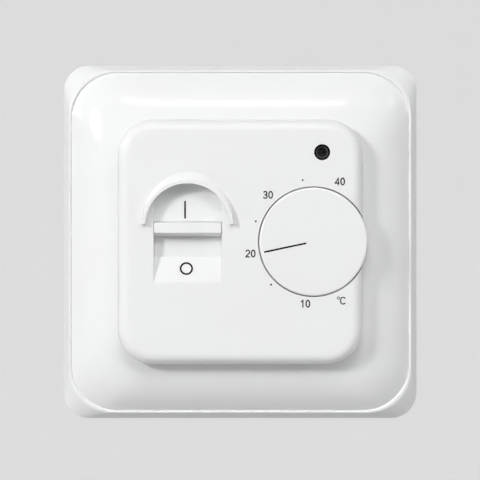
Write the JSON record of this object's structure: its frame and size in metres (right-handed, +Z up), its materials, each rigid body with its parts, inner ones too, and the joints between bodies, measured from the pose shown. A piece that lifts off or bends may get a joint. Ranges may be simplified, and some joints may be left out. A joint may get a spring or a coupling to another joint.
{
  "type": "wall thermostat",
  "caption": "Square room thermostat for a round wall box: domed frame, raised cover, setting dial, hooded slide switch and indicator, with electronics and screw terminals in a rear case.",
  "frame": {"origin": "centre of the four wall-screw slots, at the back face of the mounting plate (the wall plane)", "axes": "+Y out of the back, into the wall; the dial and cover face -Y; +Z up; +X to the right as seen from the front"},
  "size_m": [0.08, 0.0428, 0.08],
  "materials": {
    "white_housing": "satin",
    "zinc_steel": "satin",
    "brass_parts": "satin",
    "black_lens": "gloss",
    "tinned_legs": "bright",
    "ivory_plastic": "matte",
    "tray_plastic": "matte",
    "green_board": "satin",
    "dark_plastic": "matte",
    "brown_laminate": "matte",
    "black_resin": "matte",
    "resistor_body": "satin",
    "blue_plastic": "gloss",
    "relay_blue": "satin",
    "copper_coil": "satin",
    "yellow_plastic": "satin",
    "capacitor_sleeve": "satin"
  },
  "bodies": {
    "housing": {"trim_frame": "white_housing", "front_cover": "white_housing", "cover_screw": "zinc_steel", "cover_insert": "brass_parts", "indicator_lens": "black_lens", "indicator_leads": "tinned_legs", "indicator_spacer": "ivory_plastic", "mounting_plate": "zinc_steel", "front_tray": "tray_plastic", "control_board": "green_board", "board_screws": "zinc_steel", "potentiometer_case": "dark_plastic", "potentiometer_base": "brown_laminate", "potentiometer_pins": "tinned_legs", "switch_case": "dark_plastic", "switch_contacts": "brass_parts", "detent_spring": "tinned_legs", "control_chip": "black_resin", "chip_legs": "tinned_legs", "resistors": "resistor_body", "relay_transistor": "black_resin", "calibration_trimmer": "blue_plastic", "link_pins": "brass_parts", "link_strips": "black_resin", "power_board": "green_board", "relay_cover": "relay_blue", "relay_base": "black_resin", "relay_coil": "copper_coil", "relay_yoke": "zinc_steel", "relay_contacts": "brass_parts", "film_capacitor": "yellow_plastic", "smoothing_capacitor": "capacitor_sleeve", "rectifier_diodes": "black_resin", "varistor": "blue_plastic", "terminal_block": "tray_plastic", "terminal_bars": "brass_parts", "rear_case": "tray_plastic", "case_screws": "zinc_steel"},
    "dial": {"setting_dial": "white_housing", "potentiometer_shaft": "tray_plastic", "potentiometer_wiper": "brass_parts"},
    "switch_slide": {"switch_slider": "white_housing", "switch_carriage": "ivory_plastic", "switch_bridges": "brass_parts"},
    "armature": {"relay_armature": "zinc_steel", "relay_contact_leaf": "brass_parts"},
    "trimmer": {"trimmer_rotor": "tray_plastic"},
    "clamp_1": {"terminal_clamp_1": "zinc_steel"},
    "clamp_screw_1": {"terminal_screw_1": "zinc_steel"},
    "clamp_2": {"terminal_clamp_2": "zinc_steel"},
    "clamp_screw_2": {"terminal_screw_2": "zinc_steel"},
    "clamp_3": {"terminal_clamp_3": "zinc_steel"},
    "clamp_screw_3": {"terminal_screw_3": "zinc_steel"},
    "clamp_4": {"terminal_clamp_4": "zinc_steel"},
    "clamp_screw_4": {"terminal_screw_4": "zinc_steel"},
    "clamp_5": {"terminal_clamp_5": "zinc_steel"},
    "clamp_screw_5": {"terminal_screw_5": "zinc_steel"},
    "clamp_6": {"terminal_clamp_6": "zinc_steel"},
    "clamp_screw_6": {"terminal_screw_6": "zinc_steel"}
  },
  "joints": [
    {"name": "dial_turn", "type": "hinge", "parent": "housing", "child": "dial", "pos_m": [0.0164, -0.0124, 0], "axis": [0, 1, 0], "range_deg": [-97, 124]},
    {"name": "switch_travel", "type": "slide", "parent": "housing", "child": "switch_slide", "axis": [0, 0, 1], "range_m": [-0.0046, 0]},
    {"name": "relay_closing", "type": "hinge", "parent": "housing", "child": "armature", "pos_m": [0.00295, 0.0023, -0.02], "axis": [-1, 0, 0], "range_deg": [0, 3], "stiffness_Nm_per_rad": 0.002, "springref_deg": -5.73},
    {"name": "trimmer_turn", "type": "hinge", "parent": "housing", "child": "trimmer", "pos_m": [0.013, -0.009, -0.01705], "axis": [0, 1, 0], "range_deg": [-135, 135]},
    {"name": "clamp_rise_1", "type": "slide", "parent": "housing", "child": "clamp_1", "axis": [0, 1, 0], "range_m": [0, 0.0025]},
    {"name": "clamp_screw_turn_1", "type": "hinge", "parent": "housing", "child": "clamp_screw_1", "pos_m": [-0.01275, 0.027, -0.0146], "axis": [0, -1, 0], "range_deg": [0, 1800]},
    {"name": "clamp_rise_2", "type": "slide", "parent": "housing", "child": "clamp_2", "axis": [0, 1, 0], "range_m": [0, 0.0025]},
    {"name": "clamp_screw_turn_2", "type": "hinge", "parent": "housing", "child": "clamp_screw_2", "pos_m": [-0.00765, 0.027, -0.0146], "axis": [0, -1, 0], "range_deg": [0, 1800]},
    {"name": "clamp_rise_3", "type": "slide", "parent": "housing", "child": "clamp_3", "axis": [0, 1, 0], "range_m": [0, 0.0025]},
    {"name": "clamp_screw_turn_3", "type": "hinge", "parent": "housing", "child": "clamp_screw_3", "pos_m": [-0.00255, 0.027, -0.0146], "axis": [0, -1, 0], "range_deg": [0, 1800]},
    {"name": "clamp_rise_4", "type": "slide", "parent": "housing", "child": "clamp_4", "axis": [0, 1, 0], "range_m": [0, 0.0025]},
    {"name": "clamp_screw_turn_4", "type": "hinge", "parent": "housing", "child": "clamp_screw_4", "pos_m": [0.00255, 0.027, -0.0146], "axis": [0, -1, 0], "range_deg": [0, 1800]},
    {"name": "clamp_rise_5", "type": "slide", "parent": "housing", "child": "clamp_5", "axis": [0, 1, 0], "range_m": [0, 0.0025]},
    {"name": "clamp_screw_turn_5", "type": "hinge", "parent": "housing", "child": "clamp_screw_5", "pos_m": [0.00765, 0.027, -0.0146], "axis": [0, -1, 0], "range_deg": [0, 1800]},
    {"name": "clamp_rise_6", "type": "slide", "parent": "housing", "child": "clamp_6", "axis": [0, 1, 0], "range_m": [0, 0.0025]},
    {"name": "clamp_screw_turn_6", "type": "hinge", "parent": "housing", "child": "clamp_screw_6", "pos_m": [0.01275, 0.027, -0.0146], "axis": [0, -1, 0], "range_deg": [0, 1800]}
  ],
  "couplings": [
    {"joint": "clamp_screw_turn_1", "follows": "clamp_rise_1", "rad_per_m": 12566},
    {"joint": "clamp_screw_turn_2", "follows": "clamp_rise_2", "rad_per_m": 12566},
    {"joint": "clamp_screw_turn_3", "follows": "clamp_rise_3", "rad_per_m": 12566},
    {"joint": "clamp_screw_turn_4", "follows": "clamp_rise_4", "rad_per_m": 12566},
    {"joint": "clamp_screw_turn_5", "follows": "clamp_rise_5", "rad_per_m": 12566},
    {"joint": "clamp_screw_turn_6", "follows": "clamp_rise_6", "rad_per_m": 12566}
  ]
}
